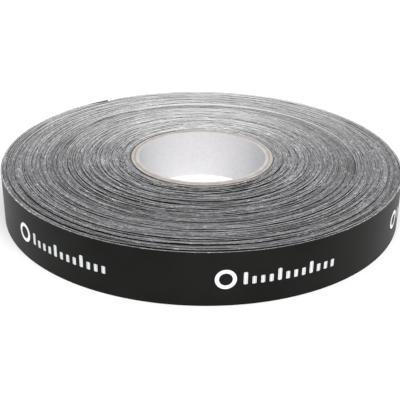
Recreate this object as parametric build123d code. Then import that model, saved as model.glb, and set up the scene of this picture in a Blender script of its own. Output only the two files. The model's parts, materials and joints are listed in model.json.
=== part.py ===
from build123d import *
import math
import os

# Grip tape roll, in millimetres.
# The origin is on the axis of the core, at the bottom end of the roll.
# +Z runs up the axis. Angles are measured from +X, anticlockwise seen from above.

# Core: a spirally wound paper tube.
core_bore = 76.2
inner_liner = 0.3
board_ply = 0.5
board_plies = 8
outer_wrap = 0.2

# Tape: smooth film, adhesive on its inside, release paper under that.
tape_width = 30.0
film = 0.5
adhesive = 0.1
release_paper = 0.1
slack = 0.06

# The wound pack, from the core outwards: turns in each band, and how far
# the band has slid up the axis. The last turn is made separately.
band_turns = (25, 25, 7, 7, 19, 6, 6, 3)
band_rise = (0.35, 0.5, 0.3, 0.1, 0.8, 0.5, 0.1, 0.2)
last_turn_rise = 0.0

# A short adhesive tab holds the first turn to the core.
tab_length = 40.0
tab_width = 24.0
tab_thickness = 0.1

# Free end of the tape. It runs clockwise from its root, and its tip stands
# off the roll by tail_lift and has crept up the axis by tail_climb.
tail_root = 141.5
tail_length = 35.0
tail_lift = 0.6
tail_climb = 0.6
body_gap = 0.3
root_gap = 0.35

# Worked out from the sizes above.
core_outer = core_bore / 2 + inner_liner + board_plies * board_ply + outer_wrap
strip = release_paper + adhesive + film
pitch = strip + slack
pack_outer = core_outer + sum(band_turns) * pitch
tail_base = pack_outer + strip + body_gap
tail_arc = math.degrees(tail_length / tail_base)
root_turn = math.degrees(root_gap / tail_base)
spiral_step = 5.0
tail_step = 1.0


def ring(inner, outer, height, rise=0.0):
    """A plain ring standing on its end."""
    face = Circle(outer) - Circle(inner)
    return Pos(0, 0, rise) * extrude(face, amount=height)


def place(radius, angle):
    """A point of the plan at a radius and an angle in degrees."""
    turn = math.radians(angle)
    return (radius * math.cos(turn), radius * math.sin(turn))


def sweep_points(radius_at, first, last, step):
    """Points of a curve given by its radius at each angle."""
    count = max(4, math.ceil(abs(last - first) / step))
    angles = [first + (last - first) * i / count for i in range(count + 1)]
    return [place(radius_at(angle), angle) for angle in angles]


def strip_layer(radius_at, thickness, first, last, step, height, rise):
    """One layer of the tape between two angles."""
    inside = sweep_points(radius_at, first, last, step)
    outside = sweep_points(lambda a: radius_at(a) + thickness, first, last, step)
    edges = [
        Spline(*inside),
        Line(inside[-1], outside[-1]),
        Spline(*outside),
        Line(outside[0], inside[0]),
    ]
    return Pos(0, 0, rise) * extrude(make_face(edges), amount=height)


def last_turn_radius(angle):
    """Inside radius of the last turn, growing clockwise by one pitch."""
    return pack_outer + pitch * (tail_root + 360 - angle) / 360


def tail_radius(angle):
    """Inside radius of the free end: it lifts towards its tip."""
    along = (tail_root - angle) / tail_arc
    return tail_base + pitch * (tail_root - angle) / 360 + tail_lift * along ** 3


def core_parts():
    """The paper tube, from the bore outwards."""
    parts = {}
    inner = core_bore / 2
    parts["core_inner_liner"] = ring(inner, inner + inner_liner, tape_width)
    inner += inner_liner
    for i in range(board_plies):
        name = f"core_ply_{i + 1}"
        parts[name] = ring(inner, inner + board_ply, tape_width)
        inner += board_ply
    parts["core_outer_wrap"] = ring(inner, core_outer, tape_width)
    return parts


def starter_tab():
    """The tab lies on the core, half way up."""
    half = math.degrees(tab_length / core_outer) / 2
    rise = (tape_width - tab_width) / 2
    return strip_layer(
        lambda a: core_outer, tab_thickness, -half, half, tail_step, tab_width, rise
    )


def stepped_band(inner, rise):
    """The outermost band: its outside is the spiral the last turn lies on."""
    start = tail_root + 360
    points = sweep_points(last_turn_radius, start, tail_root, spiral_step)
    edges = [Spline(*points), Line(points[-1], points[0])]
    face = make_face(edges) - Circle(inner)
    return Pos(0, 0, rise) * extrude(face, amount=tape_width)


def wound_parts():
    """The wound pack as bands of turns that slid together."""
    parts = {}
    inner = core_outer
    for i, (turns, rise) in enumerate(zip(band_turns, band_rise)):
        name = f"wound_turns_band_{i + 1}"
        outer = inner + turns * pitch
        if i == len(band_turns) - 1:
            parts[name] = stepped_band(inner, rise)
        else:
            parts[name] = ring(inner, outer, tape_width, rise)
        inner = outer
    parts["starter_tab"] = starter_tab()
    parts["wound_turns_band_1"] -= parts["starter_tab"]
    return parts


def strip_parts(prefix, radius_at, first, last, step, height, rise, split):
    """The three layers of the tape between two angles."""
    lift = release_paper + split
    span = (first, last, step, height, rise)
    return {
        f"{prefix}_release_paper": strip_layer(radius_at, release_paper, *span),
        f"{prefix}_adhesive": strip_layer(
            lambda a: radius_at(a) + lift, adhesive, *span
        ),
        f"{prefix}_film": strip_layer(
            lambda a: radius_at(a) + lift + adhesive, film, *span
        ),
    }


def last_turn_parts():
    """The last full turn, layer by layer."""
    start = tail_root + 360
    span = (start, tail_root, spiral_step, tape_width, last_turn_rise)
    return strip_parts("last_turn", last_turn_radius, *span, 0.0)


def climbing_slab():
    """A slab one tape wide that climbs from the root towards the tip."""
    slope = math.atan(tail_climb / tail_length)
    turn = math.radians(tail_root)
    along = Vector(math.sin(turn), -math.cos(turn), 0)
    up = Vector(0, 0, 1)
    plane = Plane(
        origin=(*place(tail_base, tail_root), last_turn_rise),
        x_dir=along * math.cos(slope) + up * math.sin(slope),
        z_dir=up * math.cos(slope) - along * math.sin(slope),
    )
    thick = tape_width * math.cos(slope)
    side = 4 * tail_length
    return plane * (Pos(0, 0, thick / 2) * Box(side, side, thick))


def tail_parts():
    """The free end, clear of the turn under it and split from its paper."""
    first = tail_root - root_turn
    last = tail_root - tail_arc
    height = tape_width + tail_climb
    layers = strip_parts(
        "tail", tail_radius, first, last, tail_step, height, last_turn_rise, body_gap
    )
    slab = climbing_slab()
    return {name: layer & slab for name, layer in layers.items()}


def build():
    parts = {}
    parts.update(core_parts())
    parts.update(wound_parts())
    parts.update(last_turn_parts())
    parts.update(tail_parts())
    return parts


os.makedirs("parts", exist_ok=True)
for name, solid in build().items():
    export_step(solid, f"parts/{name}.step")
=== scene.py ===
import bpy
import json
import math
import random
from mathutils import Matrix, Vector, noise


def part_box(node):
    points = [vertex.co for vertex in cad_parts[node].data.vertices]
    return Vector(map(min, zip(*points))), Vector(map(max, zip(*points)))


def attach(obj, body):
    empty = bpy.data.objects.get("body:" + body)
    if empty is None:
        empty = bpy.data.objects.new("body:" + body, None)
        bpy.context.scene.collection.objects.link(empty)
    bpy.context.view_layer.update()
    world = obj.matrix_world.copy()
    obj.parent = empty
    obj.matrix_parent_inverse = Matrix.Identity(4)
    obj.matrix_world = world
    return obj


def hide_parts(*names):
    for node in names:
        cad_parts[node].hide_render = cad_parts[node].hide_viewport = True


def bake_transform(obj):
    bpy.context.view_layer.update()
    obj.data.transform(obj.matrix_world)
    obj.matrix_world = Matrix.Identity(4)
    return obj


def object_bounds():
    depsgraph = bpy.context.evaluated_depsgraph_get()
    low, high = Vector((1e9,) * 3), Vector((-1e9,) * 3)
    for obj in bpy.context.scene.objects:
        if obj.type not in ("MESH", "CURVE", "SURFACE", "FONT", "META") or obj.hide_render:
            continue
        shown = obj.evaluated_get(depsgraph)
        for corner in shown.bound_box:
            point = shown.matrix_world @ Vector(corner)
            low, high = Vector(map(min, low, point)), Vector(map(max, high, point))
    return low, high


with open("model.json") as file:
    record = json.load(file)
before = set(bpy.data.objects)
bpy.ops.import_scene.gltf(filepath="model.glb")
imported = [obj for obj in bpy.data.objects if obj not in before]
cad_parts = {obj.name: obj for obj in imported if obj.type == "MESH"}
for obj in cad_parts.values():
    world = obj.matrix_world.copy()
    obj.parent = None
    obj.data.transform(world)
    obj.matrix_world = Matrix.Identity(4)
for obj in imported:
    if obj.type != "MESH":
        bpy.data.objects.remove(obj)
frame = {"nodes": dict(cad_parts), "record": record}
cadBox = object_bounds()
record = frame["record"]
mm = 0.001
hair = 1e-7  # metres, for telling faces apart by height


# Sizes taken from the frame

def outerRadius(node):
    low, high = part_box(node)
    return (high[0] - low[0]) / 2


def tapeRise(node):
    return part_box(node)[0][2]


bandTurns = (25, 25, 7, 7, 19, 6, 6, 3)
bandNames = [f"wound_turns_band_{i + 1}" for i in range(len(bandTurns))]
tapeWidth = record["mounts"][0]["dims"]["length_mm"] * mm
coreRadius = outerRadius("core_outer_wrap")
turnPitch = (outerRadius(bandNames[6]) - coreRadius) / sum(bandTurns[:7])
packTurns = sum(bandTurns)
rootPlace = Vector(record["behaviour"]["joints"][0]["pos_m"])
rootAngle = math.atan2(rootPlace.y, rootPlace.x)
bandStarts = [sum(bandTurns[:i]) for i in range(len(bandTurns) + 1)]


# Small tools

def deselectAll():
    if bpy.context.object and bpy.context.object.mode != "OBJECT":
        bpy.ops.object.mode_set(mode="OBJECT")
    bpy.ops.object.select_all(action="DESELECT")


def workOn(piece):
    deselectAll()
    piece.select_set(True)
    bpy.context.view_layer.objects.active = piece


def nameLast(name):
    piece = bpy.context.object
    piece.name = name
    piece.data.name = name
    return piece


def applyPlace(piece):
    workOn(piece)
    bpy.ops.object.transform_apply(location=True, rotation=True, scale=True)


def applyModifier(piece, kind, **settings):
    workOn(piece)
    modifier = piece.modifiers.new(kind.title(), kind)
    for key, value in settings.items():
        setattr(modifier, key, value)
    bpy.ops.object.modifier_apply(modifier=modifier.name)


def smoothStep(value):
    value = min(1.0, max(0.0, value))
    return value * value * (3 - 2 * value)


def turnOutwards(piece):
    workOn(piece)
    bpy.ops.object.mode_set(mode="EDIT")
    bpy.ops.mesh.select_all(action="SELECT")
    bpy.ops.mesh.normals_make_consistent(inside=False)
    bpy.ops.object.mode_set(mode="OBJECT")
    bpy.ops.object.shade_smooth_by_angle(angle=math.radians(40))


def finishPiece(piece, body, slot, *nodes):
    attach(piece, body)
    if nodes:
        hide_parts(*nodes)


# Materials

noiseSpan = (0.3, 0.7)  # most noise values lie in here


def startMaterial(name):
    material = bpy.data.materials.new(name)
    material.use_nodes = True
    tree = material.node_tree
    return material, tree, tree.nodes["Principled BSDF"]


def addNode(tree, kind, **settings):
    node = tree.nodes.new(kind)
    for key, value in settings.items():
        setattr(node, key, value)
    return node


def placeNode(tree, scale=(1, 1, 1), source="Object"):
    coordinate = addNode(tree, "ShaderNodeTexCoord")
    mapping = addNode(tree, "ShaderNodeMapping")
    mapping.inputs["Scale"].default_value = scale
    tree.links.new(coordinate.outputs[source], mapping.inputs["Vector"])
    return mapping.outputs["Vector"]


def noiseNode(tree, vector, scale, detail, roughness):
    texture = addNode(tree, "ShaderNodeTexNoise")
    texture.inputs["Scale"].default_value = scale
    texture.inputs["Detail"].default_value = detail
    texture.inputs["Roughness"].default_value = roughness
    tree.links.new(vector, texture.inputs["Vector"])
    return texture.outputs["Fac"]


def rampNode(tree, factor, stops):
    ramp = addNode(tree, "ShaderNodeValToRGB")
    points = ramp.color_ramp.elements
    points[0].position, points[0].color = stops[0][0], (*stops[0][1], 1)
    points[1].position, points[1].color = stops[-1][0], (*stops[-1][1], 1)
    for position, color in stops[1:-1]:
        points.new(position).color = (*color, 1)
    tree.links.new(factor, ramp.inputs["Fac"])
    return ramp.outputs["Color"]


def twoTone(tree, factor, colors):
    return rampNode(tree, factor, list(zip(noiseSpan, colors)))


def rangeNode(tree, value, low, high, span=noiseSpan):
    spread = addNode(tree, "ShaderNodeMapRange")
    spread.inputs["From Min"].default_value = span[0]
    spread.inputs["From Max"].default_value = span[1]
    spread.inputs["To Min"].default_value = low
    spread.inputs["To Max"].default_value = high
    tree.links.new(value, spread.inputs["Value"])
    return spread.outputs["Result"]


def mixColors(tree, factor, first, second, blend="MIX"):
    mix = addNode(tree, "ShaderNodeMix", data_type="RGBA", blend_type=blend)
    for socket, value in ((mix.inputs[0], factor), (mix.inputs[6], first), (mix.inputs[7], second)):
        if isinstance(value, (int, float)):
            socket.default_value = value
        elif isinstance(value, tuple):
            socket.default_value = (*value, 1)
        else:
            tree.links.new(value, socket)
    return mix.outputs[2]


def addBump(tree, shader, height, strength, distance, under=None):
    bump = addNode(tree, "ShaderNodeBump")
    bump.inputs["Strength"].default_value = strength
    bump.inputs["Distance"].default_value = distance
    tree.links.new(height, bump.inputs["Height"])
    if under:
        tree.links.new(under, bump.inputs["Normal"])
    tree.links.new(bump.outputs["Normal"], shader.inputs["Normal"])
    return bump.outputs["Normal"]


# In the finishes below a noise is scale, detail and roughness, colors are the dark and the light end,
# and a bump is strength and depth in metres

filmFinish = {
    "haze": (30, 4, 0.55),
    "drawn": (60, 3, 0.55),         # lines along the tape
    "drawnStretch": (1, 1, 30),
    "wave": (45, 2, 0.55),          # slow waves across the tape
    "waveStretch": (1, 1, 0.35),
    "grain": (1400, 2, 0.55),
    "colors": ((0.0045, 0.0045, 0.0041), (0.008, 0.0079, 0.0072)),
    "roughness": (0.40, 0.44),
    "specular": 0.08,
    "waveBump": (0.25, 0.0006),
    "grainBump": (0.05, 0.00005),
}


def makeBlackFilm():
    material, tree, shader = startMaterial("blackFilm")
    haze = noiseNode(tree, placeNode(tree), *filmFinish["haze"])
    drawn = noiseNode(tree, placeNode(tree, filmFinish["drawnStretch"]), *filmFinish["drawn"])
    wave = noiseNode(tree, placeNode(tree, filmFinish["waveStretch"]), *filmFinish["wave"])
    grain = noiseNode(tree, placeNode(tree), *filmFinish["grain"])
    tree.links.new(twoTone(tree, haze, filmFinish["colors"]), shader.inputs["Base Color"])
    tree.links.new(rangeNode(tree, drawn, *filmFinish["roughness"]), shader.inputs["Roughness"])
    shader.inputs["Specular IOR Level"].default_value = filmFinish["specular"]
    swell = addBump(tree, shader, wave, *filmFinish["waveBump"])
    addBump(tree, shader, grain, *filmFinish["grainBump"], swell)
    return material


filmEdgeFinish = {
    "dashNoise": (260, 4, 0.65),
    "dash": ((0.30, 0.030), (0.52, 0.14), (0.72, 0.50)),    # noise value and gray: scuffs along the tape
    "fleckNoise": (900, 3, 0.7),
    "fleck": ((0.36, 0.40), (0.64, 1.6)),                   # the rest multiply it: fine flecks,
    "patchNoise": (28, 3, 0.55),
    "patch": ((0.3, 0.85), (0.7, 1.15)),                    # broad patches
    "streakNoise": (1.0, 3, 0.6),
    "streak": ((0.34, 0.38), (0.5, 1.0), (0.66, 2.0)),      # and long streaks around the axis
    "streakScale": (3.0, 650),                              # around the axis, away from it
    "roughness": (0.35, 0.6),
    "specular": 0.4,
    "bump": (0.5, 0.0001),
    "slant": 0.27,          # slope of the slit edge, rising outwards
}
paperEdgeFinish = {
    "fray": (500, 4, 0.7),
    "stops": ((0.3, (0.50, 0.50, 0.51)), (0.6, (0.80, 0.80, 0.80))),
    "roughness": 0.7,
    "bump": (0.4, 0.0001),
}
# painted shade and highlight: each band's edges get a tone of their own, darker for the recessed bands as
# painted shade, and the last turn's edge is brightened as a painted highlight
bandShadeAndRimHighlight = {
    "tones": (1.08, 0.97, 0.80, 0.70, 0.93, 0.97, 0.78, 0.82),
    "ease": 0.5,            # turns at each end of a band over which its tone passes into the next
    "paintedRimHighlight": 1.7,        # painted highlight on the edge of the last full turn, outside the bands
    "lastEase": 0.3,
    "blue": 1.01,           # share of blue in every gray of the edges
}


def scaled(tree, value, factor):
    multiply = addNode(tree, "ShaderNodeMath", operation="MULTIPLY")
    tree.links.new(value, multiply.inputs[0])
    multiply.inputs[1].default_value = factor
    return multiply.outputs[0]


def axisNodes(tree):
    # the distance from the axis and the heading from it
    flat = addNode(tree, "ShaderNodeVectorMath", operation="MULTIPLY")
    tree.links.new(placeNode(tree), flat.inputs[0])
    flat.inputs[1].default_value = (1, 1, 0)
    length = addNode(tree, "ShaderNodeVectorMath", operation="LENGTH")
    heading = addNode(tree, "ShaderNodeVectorMath", operation="NORMALIZE")
    for node in (length, heading):
        tree.links.new(flat.outputs[0], node.inputs[0])
    return length.outputs["Value"], heading.outputs[0]


def streakPlace(tree, radius, heading, around, outward):
    # a vector that changes slowly around the axis and quickly away from it
    outer = addNode(tree, "ShaderNodeCombineXYZ")
    tree.links.new(scaled(tree, radius, outward), outer.inputs["Z"])
    place = addNode(tree, "ShaderNodeVectorMath", operation="MULTIPLY_ADD")
    tree.links.new(heading, place.inputs[0])
    place.inputs[1].default_value = (around, around, 0)
    tree.links.new(outer.outputs[0], place.inputs[2])
    return place.outputs[0]


def gray(*values):
    blue = bandShadeAndRimHighlight["blue"]
    return [(position, (value, value, value * blue)) for position, value in values]


def paintedBandShade(tree, radius):
    # painted shade: each band has its own tone, darker for the recessed ones as they lie in shade; the last
    # turn gets a painted highlight
    outermost = packTurns + 1
    share = rangeNode(tree, radius, 0, 1, (coreRadius, coreRadius + turnPitch * outermost))
    ease = bandShadeAndRimHighlight["ease"]
    stops = []
    for start, count, tone in zip(bandStarts, bandTurns, bandShadeAndRimHighlight["tones"]):
        stops += [((start + ease) / outermost, tone), ((start + count - ease) / outermost, tone)]
    stops.append(((packTurns + bandShadeAndRimHighlight["lastEase"]) / outermost, bandShadeAndRimHighlight["paintedRimHighlight"]))
    return rampNode(tree, share, gray(*stops))


def makeFilmEdge():
    # the slit edge of the film: scuffed along the tape, with painted shade by band and a painted highlight
    # on the last turn, slanted a little by the blade
    material, tree, shader = startMaterial("filmEdge")
    radius, heading = axisNodes(tree)
    dash = noiseNode(tree, placeNode(tree, source="UV"), *filmEdgeFinish["dashNoise"])
    fleck = noiseNode(tree, placeNode(tree), *filmEdgeFinish["fleckNoise"])
    patch = noiseNode(tree, placeNode(tree), *filmEdgeFinish["patchNoise"])
    place = streakPlace(tree, radius, heading, *filmEdgeFinish["streakScale"])
    streak = noiseNode(tree, place, *filmEdgeFinish["streakNoise"])
    color = rampNode(tree, dash, gray(*filmEdgeFinish["dash"]))
    for value, layer in ((fleck, "fleck"), (patch, "patch"), (streak, "streak")):
        tone = rampNode(tree, value, gray(*filmEdgeFinish[layer]))
        color = mixColors(tree, 1.0, color, tone, "MULTIPLY")
    # painted shade by band, and a painted highlight on the last turn
    color = mixColors(tree, 1.0, color, paintedBandShade(tree, radius), "MULTIPLY")
    tree.links.new(color, shader.inputs["Base Color"])
    tree.links.new(rangeNode(tree, fleck, *filmEdgeFinish["roughness"]), shader.inputs["Roughness"])
    shader.inputs["Specular IOR Level"].default_value = filmEdgeFinish["specular"]
    slant = addBump(tree, shader, scaled(tree, radius, filmEdgeFinish["slant"]), 1.0, 1.0)
    addBump(tree, shader, fleck, *filmEdgeFinish["bump"], slant)
    return material


def makePaperEdge():
    material, tree, shader = startMaterial("paperEdge")
    radius = axisNodes(tree)[0]
    fray = noiseNode(tree, placeNode(tree, source="UV"), *paperEdgeFinish["fray"])
    color = rampNode(tree, fray, paperEdgeFinish["stops"])
    # painted shade by band, and a painted highlight on the last turn
    color = mixColors(tree, 1.0, color, paintedBandShade(tree, radius), "MULTIPLY")
    tree.links.new(color, shader.inputs["Base Color"])
    shader.inputs["Roughness"].default_value = paperEdgeFinish["roughness"]
    addBump(tree, shader, fray, *paperEdgeFinish["bump"])
    return material


releasePaperFinish = {
    "grain": (700, 4, 0.6),
    "colors": ((0.78, 0.78, 0.78), (0.88, 0.88, 0.87)),
    "roughness": (0.35, 0.5),
    "coat": 0.0,
    "bump": (0.2, 0.00005),
}
adhesiveFinish = {
    "grain": (350, 4, 0.6),
    "colors": ((0.010, 0.010, 0.011), (0.022, 0.022, 0.024)),
    "roughness": (0.15, 0.35),
    "coat": 0.4,
    "bump": (0.3, 0.0001),
}
inkFinish = {
    "grain": (1500, 3, 0.6),
    "colors": ((0.66, 0.68, 0.70), (0.80, 0.82, 0.83)),
    "roughness": (0.35, 0.5),
    "coat": 0.0,
    "bump": (0.2, 0.00003),
}


def makeGrained(name, finish):
    # one fine grain gives the tone, the gloss and the relief
    material, tree, shader = startMaterial(name)
    grain = noiseNode(tree, placeNode(tree), *finish["grain"])
    tree.links.new(twoTone(tree, grain, finish["colors"]), shader.inputs["Base Color"])
    tree.links.new(rangeNode(tree, grain, *finish["roughness"]), shader.inputs["Roughness"])
    shader.inputs["Coat Weight"].default_value = finish["coat"]
    addBump(tree, shader, grain, *finish["bump"])
    return material


linerFinish = {
    "fibre": (600, 5, 0.65),
    "cloud": (40, 3, 0.55),
    "colors": ((0.53, 0.525, 0.54), (0.61, 0.605, 0.62)),
    "tones": ((0.94, 0.94, 0.96), (1.0, 0.99, 0.98)),
    "roughness": (0.6, 0.8),
    "bump": (0.3, 0.0001),
}
boardFinish = {
    "fibre": (1100, 5, 0.7),
    "cloud": (220, 3, 0.55),
    "tones": ((0.84, 0.83, 0.82), (1.08, 1.07, 1.06)),
    "roughness": 0.85,
    "bump": (0.6, 0.0002),
    "cream": ((0.42, 0.405, 0.385), (0.62, 0.60, 0.575)),
    "gray": ((0.29, 0.265, 0.24), (0.43, 0.39, 0.36)),
    "pink": ((0.39, 0.355, 0.335), (0.58, 0.535, 0.51)),
    "kraft": ((0.13, 0.105, 0.085), (0.24, 0.20, 0.165)),
    "tab": ((0.58, 0.54, 0.44), (0.74, 0.71, 0.62)),
}


def startFibrous(name, finish, colors):
    # fibres, with cloudy tones over them
    material, tree, shader = startMaterial(name)
    fibre = noiseNode(tree, placeNode(tree), *finish["fibre"])
    cloud = noiseNode(tree, placeNode(tree), *finish["cloud"])
    base = twoTone(tree, fibre, colors)
    color = mixColors(tree, 1.0, base, twoTone(tree, cloud, finish["tones"]), "MULTIPLY")
    tree.links.new(color, shader.inputs["Base Color"])
    addBump(tree, shader, fibre, *finish["bump"])
    return material, tree, shader, fibre


def makeLinerPaper():
    material, tree, shader, fibre = startFibrous("whiteCorePaper", linerFinish, linerFinish["colors"])
    tree.links.new(rangeNode(tree, fibre, *linerFinish["roughness"]), shader.inputs["Roughness"])
    return material


def makeBoard(name, tone):
    material, tree, shader, fibre = startFibrous(name, boardFinish, boardFinish[tone])
    shader.inputs["Roughness"].default_value = boardFinish["roughness"]
    return material


blackFilm = makeBlackFilm()
filmEdge = makeFilmEdge()
paperEdge = makePaperEdge()
releasePaper = makeGrained("releasePaper", releasePaperFinish)
adhesiveCoat = makeGrained("adhesive", adhesiveFinish)
whiteInk = makeGrained("whiteInk", inkFinish)
whiteCorePaper = makeLinerPaper()
creamBoard = makeBoard("creamBoard", "cream")
grayBoard = makeBoard("grayBoard", "gray")
pinkBoard = makeBoard("pinkBoard", "pink")
kraftPaper = makeBoard("kraftPaper", "kraft")
tabTape = makeBoard("tabTape", "tab")
print("materials made")


# The tape is laid out flat, given its layers, and then wound

tape = {
    "segments": 160,            # steps in one turn
    "paper": 0.10 * mm,         # release paper
    "adhesive": 0.10 * mm,
    "film": 0.50 * mm,
    "width": 29.3 * mm,         # a little under the stock width, so that the turns have room to slip
    "mapShift": 0.4,            # metres between the two long edges in the strip's own map
    "groove": 0.40 * mm,        # gap left between two bands
    "grooveEnds": (0.125, 0.03),    # shares of a band over which the gap opens and closes
    "riseEase": 0.12,           # share of a turn over which one band steps to the next
    "slipStep": 0.55 * mm,      # slip of one turn against the next, changing over a quarter turn
    "slipsPerTurn": 4.63,
    "ripple": 0.20 * mm,        # the same, over a hand's breadth
    "ripplesPerTurn": 19.3,
    "nick": 0.20 * mm,          # the same, over a finger's breadth
    "nicksPerTurn": 71.7,
    "groupSlip": 0.22 * mm,     # slip of a few turns together
    "groupSizes": (2, 3, 3, 4, 5),
    "groupEase": 0.2,           # share of a turn, as are the next two
    "shareEase": 0.5,
    "outerEase": 0.1,
    "frontTurn": 96.5,          # from this turn on, the wound turns have crept up on the near side
    "frontSlip": 0.45 * mm,
    "dip": 0.5 * mm,            # how far the outermost wound turn has slipped down under the free end
    "dipTurns": (0.034, 0.028), # middle and half length of that stretch, in turns from the root
    "dipGain": 1.4,             # how steeply it comes on
    "startTurn": 0.754,         # where the first turn starts
    "startGapShade": 0.33,          # share of a turn painted black with the adhesive finish, as painted shade in the gap where the winding starts at the core
    "startSpread": 16,          # turns over which the start is evened out
}
chanceCount = 4096
rowStride = 611  # places from one row of chance values to the next
noPart = (2, 2)  # an end part that no face lies in

bandRises = [tapeRise(name) for name in bandNames]
lastRise = tapeRise("last_turn_film")
highest = cadBox[1][2]
chance = random.Random(11)
chanceValues = [chance.uniform(-1, 1) for count in range(chanceCount)]


def chanceAt(place, row):
    # smooth chance values along a line, a different line for each row
    step = math.floor(place)
    first = chanceValues[(step + row * rowStride) % chanceCount]
    second = chanceValues[(step + 1 + row * rowStride) % chanceCount]
    return first + (second - first) * smoothStep(place - step)


def makeGroups():
    # runs of two to five turns that slipped together
    starts = [0]
    while starts[-1] < packTurns:
        starts.append(starts[-1] + chance.choice(tape["groupSizes"]))
    return [(start, chance.uniform(-1, 1)) for start in starts]


slipGroups = makeGroups()


def stepped(turn, steps, ease):
    # the value of the last step passed, eased in over a part of a turn
    index = max(i for i, step in enumerate(steps) if turn >= step[0] or i == 0)
    before = steps[max(0, index - 1)][1]
    return before + (steps[index][1] - before) * smoothStep((turn - steps[index][0]) / ease)


bandSteps = list(zip(bandStarts, bandRises + [lastRise]))
# how much of the slip each band shows
slipShares = list(zip(bandStarts, (1.0, 1.0, 0.75, 0.6, 1.0, 1.0, 1.0, 1.0)))
# turn, and how far the outer turns lie up or down from it on, in mm
outerSlips = [(0, 0.0), (89, -0.45), (91, -0.15), (93, 0.10), (95, -0.35), (96.5, 0.15), (98, 0.0)]


def dipAt(turnsFromRoot):
    # 0 to 1 over the stretch under the free end
    middle, half = tape["dipTurns"]
    return smoothStep(tape["dipGain"] * (1 - abs(turnsFromRoot - middle) / half))


def riseAt(turn):
    rise = stepped(turn, bandSteps, tape["riseEase"]) + (tapeWidth - tape["width"]) / 2
    rise += mm * stepped(turn, outerSlips, tape["outerEase"])
    slip = tape["groupSlip"] * stepped(turn, slipGroups, tape["groupEase"])
    slip += tape["slipStep"] * chanceAt(turn * tape["slipsPerTurn"], 1)
    slip += tape["ripple"] * chanceAt(turn * tape["ripplesPerTurn"], 2)
    slip += tape["nick"] * chanceAt(turn * tape["nicksPerTurn"], 3)
    rise += slip * stepped(turn, slipShares, tape["shareEase"])
    if turn > tape["frontTurn"]:
        nearness = max(0.0, -math.sin(rootAngle - turn * 2 * math.pi))
        rise += tape["frontSlip"] * nearness ** 2
        rise -= tape["dip"] * dipAt(turn - packTurns + 1)
    return min(max(rise, 0), highest - tape["width"])


def radiusAt(turn):
    band = max(i for i, start in enumerate(bandStarts) if turn >= start or i == 0)
    opens, closes = tape["grooveEnds"]
    spread = tape["startSpread"]
    squeeze = 0
    if band < len(bandTurns):
        into = (turn - bandStarts[band]) / bandTurns[band]
        squeeze = tape["groove"] * smoothStep(into / opens) * (1 - smoothStep((into - 1 + closes) / closes))
    late = tape["startTurn"] * (1 - smoothStep((turn - tape["startTurn"]) / spread))
    return coreRadius + turnPitch * (turn - late) - squeeze * smoothStep(turn / spread)


def windPlace(turn, depth, height):
    angle = rootAngle - turn * 2 * math.pi
    radius = radiusAt(turn) + depth
    return Vector((radius * math.cos(angle), radius * math.sin(angle), height))


def layStrip(name, thicknesses, steps):
    # one metre square; it gets its length and width when it is wound
    deselectAll()
    middle = (0.5, 0.5, 0)
    bpy.ops.mesh.primitive_grid_add(x_subdivisions=steps, y_subdivisions=1, size=1, location=middle)
    strip = nameLast(name)
    applyPlace(strip)
    bpy.ops.object.mode_set(mode="EDIT")
    bpy.ops.mesh.select_all(action="SELECT")
    for thickness in thicknesses:
        bpy.ops.mesh.extrude_region_move(TRANSFORM_OT_translate={"value": (0, 0, thickness)})
    bpy.ops.object.mode_set(mode="OBJECT")
    return strip


def mapLength(strip, turns, start):
    layer = strip.data.uv_layers.active or strip.data.uv_layers.new(name="stripMap")
    turnLength = 2 * math.pi * (coreRadius + turnPitch * (start + turns / 2))
    for loop in strip.data.loops:
        place = strip.data.vertices[loop.vertex_index].co
        across = place.z + place.y * tape["mapShift"]
        layer.data[loop.index].uv = (place.x * turns * turnLength, across)


def paintStrip(strip, thicknesses, sideMaterials, faceMaterials, endPart, endMaterial):
    # sides are the two long edges, one material for each layer; faces are the inside and the outside;
    # the end part is a stretch along the strip with a finish of its own
    materials = []
    for material in sideMaterials + faceMaterials + [endMaterial]:
        if material not in materials:
            materials.append(material)
            strip.data.materials.append(material)
    total = sum(thicknesses)
    levels = [sum(thicknesses[:i + 1]) for i in range(len(thicknesses))]
    for face in strip.data.polygons:
        middle = face.center.z
        if middle < hair:
            material = faceMaterials[0]
        elif middle > total - hair:
            material = faceMaterials[1]
        else:
            material = sideMaterials[next(i for i, level in enumerate(levels) if middle < level)]
        if endPart[0] < face.center.x < endPart[1]:
            material = endMaterial
        face.material_index = materials.index(material)


def windStrip(strip, start, turns):
    for vertex in strip.data.vertices:
        turn = start + vertex.co.x * turns
        vertex.co = windPlace(turn, vertex.co.z, riseAt(turn) + vertex.co.y * tape["width"])
    turnOutwards(strip)


def makeBands():
    layers = [tape["paper"], tape["adhesive"] + tape["film"]]
    for name, start, turns in zip(bandNames, bandStarts, bandTurns):
        if start == 0:
            start, turns = tape["startTurn"], turns - tape["startTurn"]
        pieceName = name.replace("wound_turns_band", "woundBand")
        strip = layStrip(pieceName, layers, round(turns * tape["segments"]))
        mapLength(strip, turns, start)
        # painted shade: the very first stretch gets the black adhesive finish all over, darkening the gap
        # where the winding starts at the core
        startGapShadeSpan = (0, tape["startGapShade"] / turns) if start == tape["startTurn"] else noPart
        paintStrip(strip, layers, [paperEdge, filmEdge], [releasePaper, blackFilm], startGapShadeSpan, adhesiveCoat)
        windStrip(strip, start, turns)
        finishPiece(strip, "roll", "wound_edge", name)


makeBands()
print("wound bands made")


# The last turn, and the free end across its root

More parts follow.
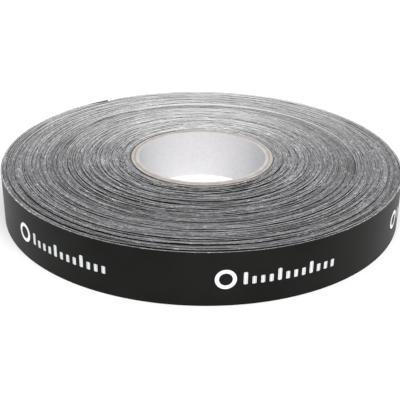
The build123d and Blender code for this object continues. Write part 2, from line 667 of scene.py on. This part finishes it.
freeEnd = {
    "length": 35 * mm,
    "segments": 240,        # steps in the last turn
    "stepsAlong": 60,       # steps in the piece that bends
    "back": 0.085,          # share of a turn that bends with the free end
    "rootTurns": 0.012,     # turns before and after the root over which the gaps open
    "blackEdgeTip": 13 * mm,       # length at the tip whose slit edge gets the black film finish in place of the edge finish
    "bend": 10 * mm,        # length over which the tape bends when it is peeled
    "lift": 0.35 * mm,      # how far the tip stands off
    "sink": 0.20 * mm,      # how far the upper edge of the film has slipped down at the tip
    "paperSink": 0.9 * mm,  # the same for the release paper
    "sinkFrom": 0.45,       # share of the free end where this starts
    "sinkGain": 2.2,        # how steeply it comes on
    "dip": 0.95 * mm,       # how far the turn under the free end has slipped down
    "clear": 0.08 * mm,     # gap under each peeling layer
}
wall = {
    "swell": 0.02 * mm,     # slow swell around the outside
    "swellsPerTurn": 9,
    "dent": 0.015 * mm,     # shallow dents
    "dentsPerTurn": 20,
    "dentsPerMetre": 60,    # up the wall
    "inset": 0.06 * mm,     # keeps all of it inside the full radius
}

endRadius = radiusAt(packTurns + 1)
endTurns = freeEnd["length"] / (2 * math.pi * endRadius)


def wallSwell(turn, height):
    # the bare numbers only pick a stretch of noise
    swell = noise.noise(Vector((turn * wall["swellsPerTurn"], 36.55, 0.5)))
    dent = noise.noise(Vector((turn * wall["dentsPerTurn"], height * wall["dentsPerMetre"], 4)))
    return wall["swell"] * swell + wall["dent"] * dent - wall["inset"]


def freeAlong(turn):
    return max(0.0, (turn - packTurns - 1) / endTurns)


def rootEase(turn):
    # 0 on the last turn, 1 on the free end
    reach = freeEnd["rootTurns"]
    return smoothStep((turn - packTurns - 1 + reach) / (2 * reach))


def windLayer(strip, start, turns, depth, gap, sink):
    for vertex in strip.data.vertices:
        turn = start + vertex.co.x * turns
        along = freeAlong(turn)
        out = depth + gap * rootEase(turn) + freeEnd["lift"] * along ** 3 + vertex.co.z
        sunk = freeEnd["dip"] * dipAt(turn - packTurns)
        sunk += sink * smoothStep((along - freeEnd["sinkFrom"]) * freeEnd["sinkGain"])
        height = lastRise + vertex.co.y * (tapeWidth - sunk)
        out += wallSwell(turn, height)
        vertex.co = windPlace(turn, out, height)
    turnOutwards(strip)


def makeLayer(name, thickness, start, turns, steps, edge, faces, blackEdgeTip):
    strip = layStrip(name, [thickness], steps)
    mapLength(strip, turns, start)
    paintStrip(strip, [thickness], [edge], faces, blackEdgeTip, blackFilm)
    return strip


def makeLastTurn():
    back = freeEnd["back"]
    depths = {"paper": 0.0, "adhesive": tape["paper"], "film": tape["paper"] + tape["adhesive"]}
    finishes = {
        "paper": (paperEdge, [releasePaper, releasePaper], "release_paper"),
        "adhesive": (adhesiveCoat, [adhesiveCoat, adhesiveCoat], "adhesive"),
        "film": (filmEdge, [blackFilm, blackFilm], "black_film"),
    }
    nodes = {"paper": "release_paper", "adhesive": "adhesive", "film": "film"}
    endStart = packTurns + 1 - back
    endLength = back + endTurns
    blackEdgeTipShare = freeEnd["blackEdgeTip"] / (endLength * 2 * math.pi * endRadius)
    for layer, (edge, faces, slot) in finishes.items():
        name = "lastTurn" + layer.title()
        steps = round((1 - back) * freeEnd["segments"])
        wrap = makeLayer(name, tape[layer], packTurns, 1 - back, steps, edge, faces, noPart)
        windLayer(wrap, packTurns, 1 - back, depths[layer], 0, 0)
        finishPiece(wrap, "roll", slot, "last_turn_" + nodes[layer])

        name = "freeEnd" + layer.title()
        steps = freeEnd["stepsAlong"]
        # the last stretch of the film at the tip gets the black film finish on its slit edge too
        blackEdgeTip = (1 - blackEdgeTipShare, 2) if layer == "film" else noPart
        end = makeLayer(name, tape[layer], endStart, endLength, steps, edge, faces, blackEdgeTip)
        gap = freeEnd["clear"] if layer == "paper" else 2 * freeEnd["clear"]
        sink = freeEnd["paperSink"] if layer == "paper" else freeEnd["sink"]
        windLayer(end, endStart, endLength, depths[layer], gap, sink)
        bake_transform(end)
        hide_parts("tail_" + nodes[layer])


makeLastTurn()
print("last turn and free end made")


# The printed marks: a plain ring and a row of length ticks

mark = {
    "count": 6,
    "spacing": math.radians(58.3),
    "first": math.radians(-54.9),      # where mark 2 starts, from -Y towards +X
    "ring": 5.4 * mm,                  # outer radius of the ring
    "ringWall": 2.0 * mm,
    "tick": (2.0 * mm, 6.8 * mm),      # width and height
    "shortTick": 0.62,                 # share of the full height
    "longEvery": 4,                    # every fourth tick is a full one
    "tickRound": 0.3,                  # corners, as a share of the tick's width
    "tickGap": 4.4 * mm,
    "ticks": 12,
    "thickness": 0.016 * mm,
    "middle": 0.5,                     # share of the width
}


def makeRing():
    deselectAll()
    radius = mark["ring"]
    bpy.ops.mesh.primitive_circle_add(vertices=48, radius=radius, fill_type="NGON", location=(radius, 0, 0))
    ring = nameLast("ring")
    applyPlace(ring)
    bpy.ops.object.mode_set(mode="EDIT")
    bpy.ops.mesh.select_all(action="SELECT")
    bpy.ops.mesh.inset(thickness=mark["ringWall"])
    bpy.ops.mesh.delete(type="FACE")
    bpy.ops.object.mode_set(mode="OBJECT")
    return ring


def makeTick(number):
    deselectAll()
    wide, full = mark["tick"]
    tall = full if number % mark["longEvery"] == 0 else full * mark["shortTick"]
    left = 2 * mark["ring"] + mark["tickGap"] * (number + 1)
    middle = (left, (tall - full) / 2, 0)
    bpy.ops.mesh.primitive_grid_add(x_subdivisions=2, y_subdivisions=6, size=1, location=middle)
    tick = nameLast("tick")
    tick.scale = (wide, tall, 1)
    applyPlace(tick)
    bpy.ops.object.mode_set(mode="EDIT")
    bpy.ops.mesh.select_all(action="SELECT")
    bpy.ops.mesh.bevel(offset=wide * mark["tickRound"], segments=3, affect="VERTICES")
    bpy.ops.object.mode_set(mode="OBJECT")
    return tick


def wrapMark(piece, start):
    for vertex in piece.data.vertices:
        angle = start - math.pi / 2 + vertex.co.x / endRadius
        around = (rootAngle - angle) / (2 * math.pi) % 1.0
        turn = packTurns + around
        height = lastRise + tapeWidth * mark["middle"] + vertex.co.y
        depth = tape["paper"] + tape["adhesive"] + tape["film"] + wallSwell(turn, height)
        vertex.co = windPlace(turn, depth + mark["thickness"] * 0.5 + vertex.co.z, height)


def makeMark(number):
    parts = [makeRing()]
    for tick in range(mark["ticks"]):
        parts.append(makeTick(tick))
    deselectAll()
    for part in parts:
        part.select_set(True)
    bpy.context.view_layer.objects.active = parts[0]
    bpy.ops.object.join()
    piece = nameLast(f"printedMark{number}")
    applyModifier(piece, "SOLIDIFY", thickness=mark["thickness"], offset=1)
    piece.data.materials.append(whiteInk)
    wrapMark(piece, mark["first"] + mark["spacing"] * (number - 2))
    turnOutwards(piece)
    finishPiece(piece, "roll", "black_film")


for number in range(1, mark["count"] + 1):
    makeMark(number)
print("printed marks made")


# Core and tab keep their shape and get their finishes

def paintNode(node, material):
    piece = frame["nodes"][node]
    piece.data.materials.clear()
    piece.data.materials.append(material)


plies = [creamBoard] * 3 + [grayBoard] * 2 + [pinkBoard] * 3  # from the bore outwards


def paintCore():
    paintNode("core_inner_liner", whiteCorePaper)
    paintNode("core_outer_wrap", kraftPaper)
    paintNode("starter_tab", tabTape)
    for number, board in enumerate(plies, start=1):
        paintNode(f"core_ply_{number}", board)


paintCore()
print("core painted")


# Floor, lights and camera

studio = {
    "floorSize": 40.0,
    "floorColor": (0.98, 0.98, 0.98, 1),
    "floorRoughness": 0.9,
    "worldStrength": 0.68,
    "keyStrength": 178.0,
    "keySize": (5.0, 2.0),
    "keyPlace": (0.5, -3.0, 2.6),
}


def makeFloor():
    deselectAll()
    bpy.ops.mesh.primitive_plane_add(size=studio["floorSize"], location=(0, 0, 0))
    floor = nameLast("floor")
    material, tree, shader = startMaterial("floorWhite")
    shader.inputs["Base Color"].default_value = studio["floorColor"]
    shader.inputs["Roughness"].default_value = studio["floorRoughness"]
    shader.inputs["Specular IOR Level"].default_value = 0.0
    floor.data.materials.append(material)


def makeKeyLight():
    light = bpy.data.lights.new("keyLight", "AREA")
    light.shape = "RECTANGLE"
    light.size, light.size_y = studio["keySize"]
    light.energy = studio["keyStrength"]
    lamp = bpy.data.objects.new("keyLight", light)
    bpy.context.scene.collection.objects.link(lamp)
    place = Vector(studio["keyPlace"])
    lamp.location = place
    lamp.rotation_euler = (-place).to_track_quat("-Z", "Y").to_euler()


def makeWorld():
    world = bpy.data.worlds.new("studio")
    bpy.context.scene.world = world
    world.use_nodes = True
    background = world.node_tree.nodes["Background"]
    background.inputs["Color"].default_value = (1, 1, 1, 1)
    background.inputs["Strength"].default_value = studio["worldStrength"]


view = {
    "distance": 0.508,                  # from the middle of the roll's top
    "elevation": math.radians(23.03),
    "aimDown": math.radians(3.025),     # below that middle
    "aimRight": math.radians(-0.111),
    "tilt": math.radians(0.80),
    "lens": 75.90,                      # millimetres, as is the sensor
    "sensor": 36,
    "clip": 0.01,
}


def makeCamera():
    data = bpy.data.cameras.new("camera")
    data.lens = view["lens"]
    data.sensor_width = view["sensor"]
    data.clip_start = view["clip"]
    camera = bpy.data.objects.new("camera", data)
    bpy.context.scene.collection.objects.link(camera)
    top = Vector((0, 0, tapeWidth))
    up = view["elevation"]
    place = top + view["distance"] * Vector((0, -math.cos(up), math.sin(up)))
    down = up + view["aimDown"]
    side = view["aimRight"]
    ahead = Vector((math.sin(side) * math.cos(down), math.cos(side) * math.cos(down), -math.sin(down)))
    right = Vector((math.cos(side), -math.sin(side), 0))
    above = right.cross(ahead)
    turn = view["tilt"]
    rightTilted = right * math.cos(turn) + above * math.sin(turn)
    aboveTilted = above * math.cos(turn) - right * math.sin(turn)
    basis = Matrix((rightTilted, aboveTilted, -ahead)).transposed()
    camera.matrix_world = Matrix.Translation(place) @ basis.to_4x4()
    bpy.context.scene.camera = camera


makeFloor()
makeWorld()
makeKeyLight()
makeCamera()
bpy.context.scene.view_settings.view_transform = "Standard"
print("studio made")
